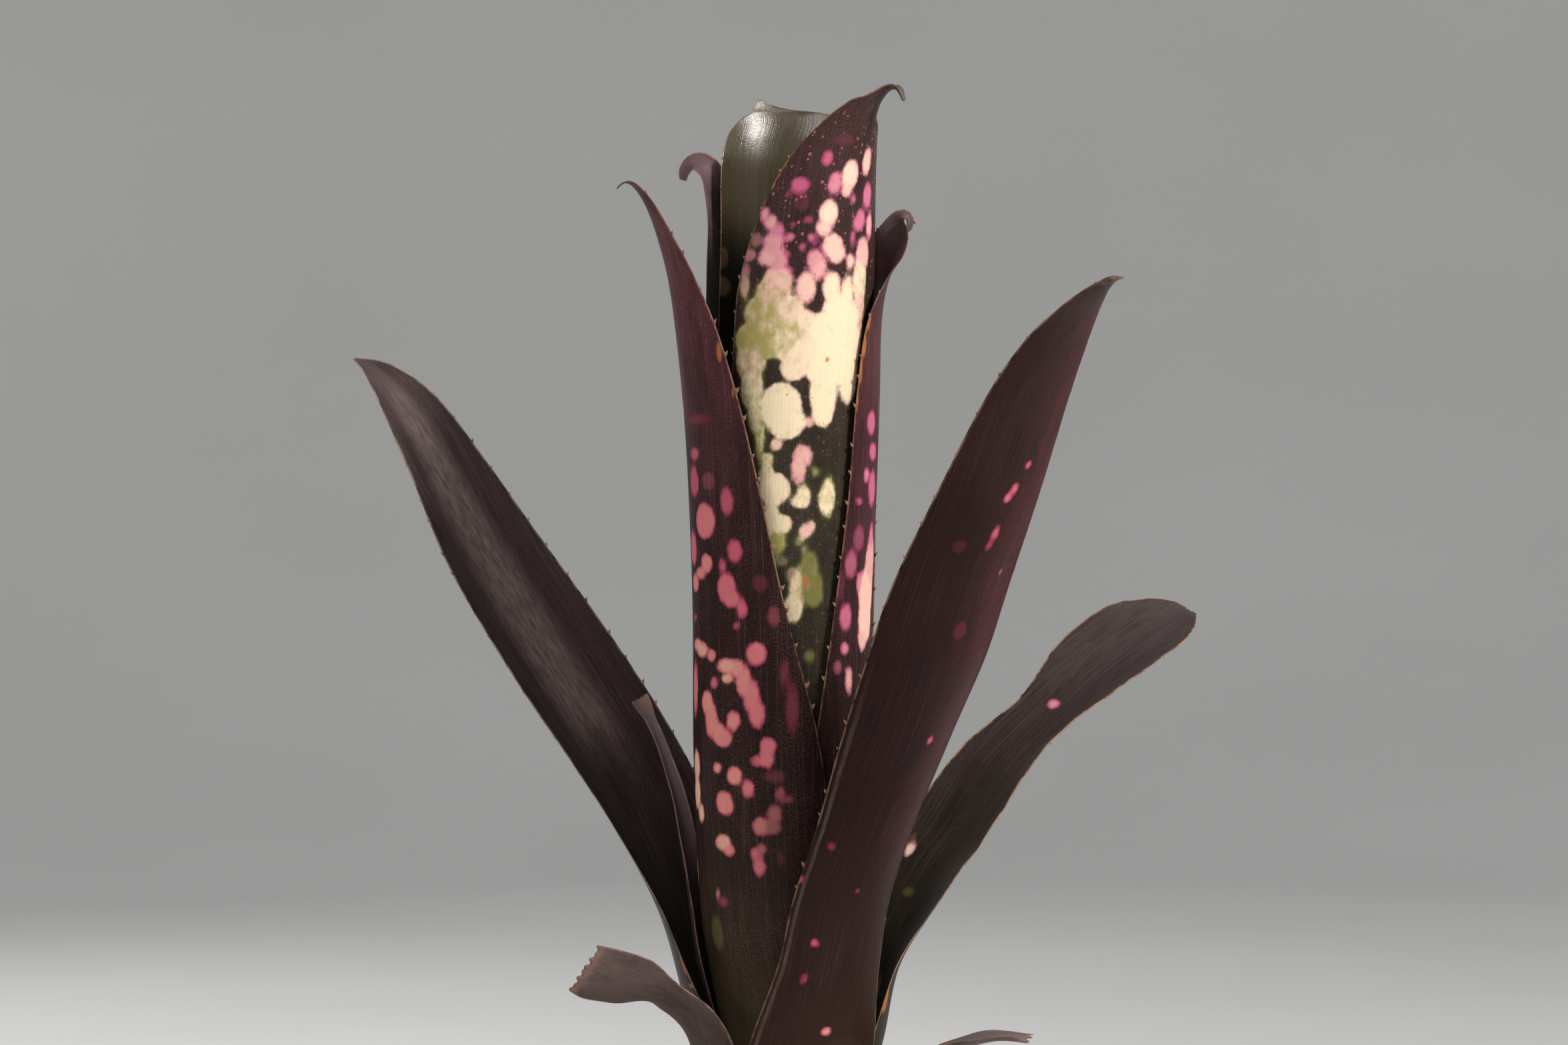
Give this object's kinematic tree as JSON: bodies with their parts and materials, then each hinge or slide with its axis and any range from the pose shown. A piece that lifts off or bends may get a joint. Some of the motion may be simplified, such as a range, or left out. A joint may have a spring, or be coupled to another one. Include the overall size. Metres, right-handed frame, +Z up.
{
  "type": "potted billbergia",
  "caption": "Tube-forming bromeliad in a plain clay pot: overlapping spotted strap leaves clasp into a tall upright vase, with outer leaves that spread and droop.",
  "frame": {"origin": "centre of the pot's flat underside", "axes": "+Z up along the pot and the leaf tube; the picture looks along +Y, with +X to its right"},
  "size_m": [0.3075, 0.2556, 0.4896],
  "materials": {
    "olive_leaf": "glossy leaf, olive bronze",
    "spotted_leaf": "satin leaf, cream and pink blotches on dark netting",
    "mauve_leaf": "satin leaf, mauve with salmon spots",
    "grey_leaf": "satin leaf, grey purple with pale bloom",
    "maroon_leaf": "satin leaf, dark maroon with scurf",
    "dry_leaf": "dull ageing leaf with brown ends",
    "stem": "fibrous",
    "potting_mix": "coarse bark mix",
    "bark": "rough bark",
    "terracotta": "unglazed clay"
  },
  "bodies": {
    "root": {"heart_leaf": "olive_leaf", "inner_back_leaf": "olive_leaf", "inner_front_leaf": "spotted_leaf", "left_back_tube_leaf": "mauve_leaf", "right_tube_leaf": "mauve_leaf", "left_front_tube_leaf": "mauve_leaf", "back_leaf": "grey_leaf", "withered_back_leaf": "dry_leaf", "left_back_leaf": "grey_leaf", "right_back_leaf": "grey_leaf", "right_front_leaf": "maroon_leaf", "old_back_leaf": "dry_leaf", "old_right_leaf": "dry_leaf", "old_left_leaf": "dry_leaf", "rooted_stem": "stem", "potting_mix": "potting_mix", "bark_chip_1": "bark", "bark_chip_2": "bark", "bark_chip_3": "bark", "bark_chip_4": "bark", "bark_chip_5": "bark", "bark_chip_6": "bark", "bark_chip_7": "bark", "bark_chip_8": "bark", "bark_chip_9": "bark", "clay_pot": "terracotta"}
  },
  "joints": []
}
